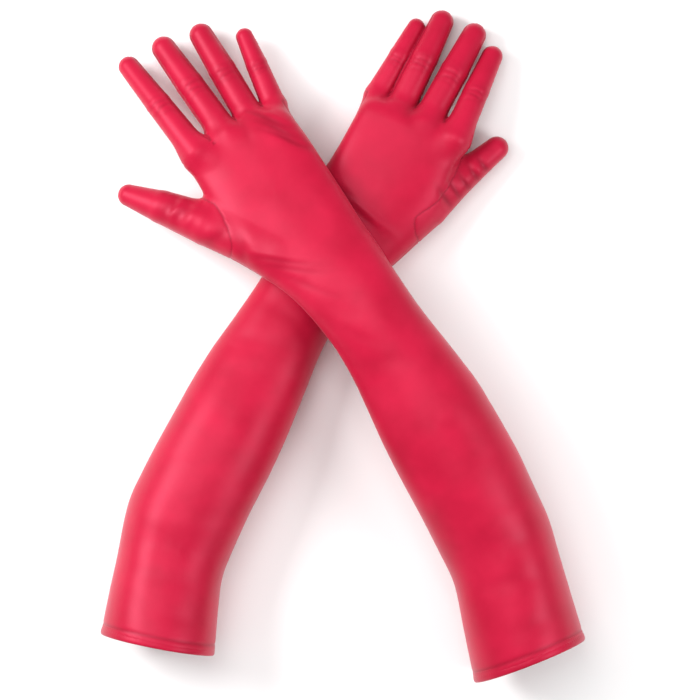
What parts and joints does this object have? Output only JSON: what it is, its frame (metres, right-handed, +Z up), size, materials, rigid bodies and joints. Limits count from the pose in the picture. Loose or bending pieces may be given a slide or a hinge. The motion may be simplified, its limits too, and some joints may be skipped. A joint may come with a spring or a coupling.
{
  "type": "opera gloves",
  "caption": "Pair of elbow-length satin opera gloves, laid crossed with the backs of the hands up, with fingers, wrists and elbows that bend.",
  "frame": {"origin": "under the middle of the pair, on the surface it rests on", "axes": "+Z up, +Y from the hems towards the fingertips, +X towards the right glove's hem"},
  "size_m": [0.3522, 0.481, 0.0951],
  "materials": {
    "back_satin": "stretch satin, glossy face, backs of hand and arm",
    "palm_satin": "stretch satin, glossy face, palm and inner arm",
    "thumb_satin": "stretch satin, set-in thumb",
    "fourchette_satin": "stretch satin strips between the fingers",
    "hem_satin": "stretch satin, turned and stitched double"
  },
  "bodies": {
    "right_forearm": {"right_forearm_back": "back_satin", "right_forearm_palm": "palm_satin", "right_elbow_section": "back_satin", "right_wrist_section": "back_satin"},
    "right_upper_arm": {"right_upper_arm_back": "back_satin", "right_upper_arm_palm": "palm_satin", "right_hem_band": "hem_satin"},
    "right_hand": {"right_hand_back": "back_satin", "right_hand_palm": "palm_satin", "right_thumb_base": "thumb_satin"},
    "right_thumb": {"right_thumb": "thumb_satin"},
    "right_index": {"right_index_back": "back_satin", "right_index_palm": "palm_satin", "right_fourchette_index_to_middle": "fourchette_satin"},
    "right_middle": {"right_middle_back": "back_satin", "right_middle_palm": "palm_satin", "right_fourchette_middle_to_index": "fourchette_satin", "right_fourchette_middle_to_ring": "fourchette_satin"},
    "right_ring": {"right_ring_back": "back_satin", "right_ring_palm": "palm_satin", "right_fourchette_ring_to_middle": "fourchette_satin", "right_fourchette_ring_to_little": "fourchette_satin"},
    "right_little": {"right_little_back": "back_satin", "right_little_palm": "palm_satin", "right_fourchette_little_to_ring": "fourchette_satin"},
    "left_forearm": {"left_forearm_back": "back_satin", "left_forearm_palm": "palm_satin", "left_elbow_section": "back_satin", "left_wrist_section": "back_satin"},
    "left_upper_arm": {"left_upper_arm_back": "back_satin", "left_upper_arm_palm": "palm_satin", "left_hem_band": "hem_satin"},
    "left_hand": {"left_hand_back": "back_satin", "left_hand_palm": "palm_satin", "left_thumb_base": "thumb_satin"},
    "left_thumb": {"left_thumb": "thumb_satin"},
    "left_index": {"left_index_back": "back_satin", "left_index_palm": "palm_satin", "left_fourchette_index_to_middle": "fourchette_satin"},
    "left_middle": {"left_middle_back": "back_satin", "left_middle_palm": "palm_satin", "left_fourchette_middle_to_index": "fourchette_satin", "left_fourchette_middle_to_ring": "fourchette_satin"},
    "left_ring": {"left_ring_back": "back_satin", "left_ring_palm": "palm_satin", "left_fourchette_ring_to_middle": "fourchette_satin", "left_fourchette_ring_to_little": "fourchette_satin"},
    "left_little": {"left_little_back": "back_satin", "left_little_palm": "palm_satin", "left_fourchette_little_to_ring": "fourchette_satin"}
  },
  "joints": [
    {"name": "right_elbow_bend", "type": "hinge", "parent": "right_forearm", "child": "right_upper_arm", "pos_m": [0.1154, -0.1506, 0.04889], "axis": [-0.0571, 0.1722, -0.9834], "range_deg": [-20, 45], "deforming": ["right_elbow_section"]},
    {"name": "right_wrist_bend", "type": "hinge", "parent": "right_forearm", "child": "right_hand", "pos_m": [0.01273, 0.02601, 0.07099], "axis": [-0.7918, -0.6108, 0], "range_deg": [-45, 4], "deforming": ["right_wrist_section"]},
    {"name": "right_thumb_swing", "type": "hinge", "parent": "right_hand", "child": "right_thumb", "pos_m": [-0.10034, 0.08229, 0.04349], "axis": [0, 0, -1], "range_deg": [-15, 12]},
    {"name": "right_index_bend", "type": "hinge", "parent": "right_hand", "child": "right_index", "pos_m": [-0.10508, 0.13535, 0.04462], "axis": [-0.8165, -0.5343, 0.2188], "range_deg": [-8, 42]},
    {"name": "right_middle_bend", "type": "hinge", "parent": "right_hand", "child": "right_middle", "pos_m": [-0.08463, 0.14874, 0.03914], "axis": [-0.8165, -0.5343, 0.2188], "range_deg": [-8, 42]},
    {"name": "right_ring_bend", "type": "hinge", "parent": "right_hand", "child": "right_ring", "pos_m": [-0.06637, 0.16068, 0.03425], "axis": [-0.8165, -0.5343, 0.2188], "range_deg": [-8, 42]},
    {"name": "right_little_bend", "type": "hinge", "parent": "right_hand", "child": "right_little", "pos_m": [-0.05014, 0.17131, 0.0299], "axis": [-0.8165, -0.5343, 0.2188], "range_deg": [-8, 42]},
    {"name": "left_elbow_bend", "type": "hinge", "parent": "left_forearm", "child": "left_upper_arm", "pos_m": [-0.12365, -0.1506, 0.03589], "axis": [0.0028, 0.0099, 0.9999], "range_deg": [-20, 45], "deforming": ["left_elbow_section"]},
    {"name": "left_wrist_bend", "type": "hinge", "parent": "left_forearm", "child": "left_hand", "pos_m": [-0.03099, 0.0312, 0.02189], "axis": [-0.8393, 0.5437, 0], "range_deg": [-4, 45], "deforming": ["left_wrist_section"]},
    {"name": "left_thumb_swing", "type": "hinge", "parent": "left_hand", "child": "left_thumb", "pos_m": [0.08075, 0.09824, 0.01389], "axis": [0, 0, 1], "range_deg": [-18, 2]},
    {"name": "left_index_bend", "type": "hinge", "parent": "left_hand", "child": "left_index", "pos_m": [0.08149, 0.14677, 0.02932], "axis": [-0.8432, 0.4879, -0.2259], "range_deg": [-8, 42]},
    {"name": "left_middle_bend", "type": "hinge", "parent": "left_hand", "child": "left_middle", "pos_m": [0.06089, 0.15869, 0.0238], "axis": [-0.8432, 0.4879, -0.2259], "range_deg": [-8, 42]},
    {"name": "left_ring_bend", "type": "hinge", "parent": "left_hand", "child": "left_ring", "pos_m": [0.04186, 0.1697, 0.0187], "axis": [-0.8432, 0.4879, -0.2259], "range_deg": [-8, 42]},
    {"name": "left_little_bend", "type": "hinge", "parent": "left_hand", "child": "left_little", "pos_m": [0.02527, 0.1793, 0.01426], "axis": [-0.8432, 0.4879, -0.2259], "range_deg": [-8, 42]},
    {"name": "right_glove_lift", "type": "slide", "parent": "left_forearm", "child": "right_forearm", "axis": [0, 0, 1], "range_m": [0, 0.15]}
  ]
}
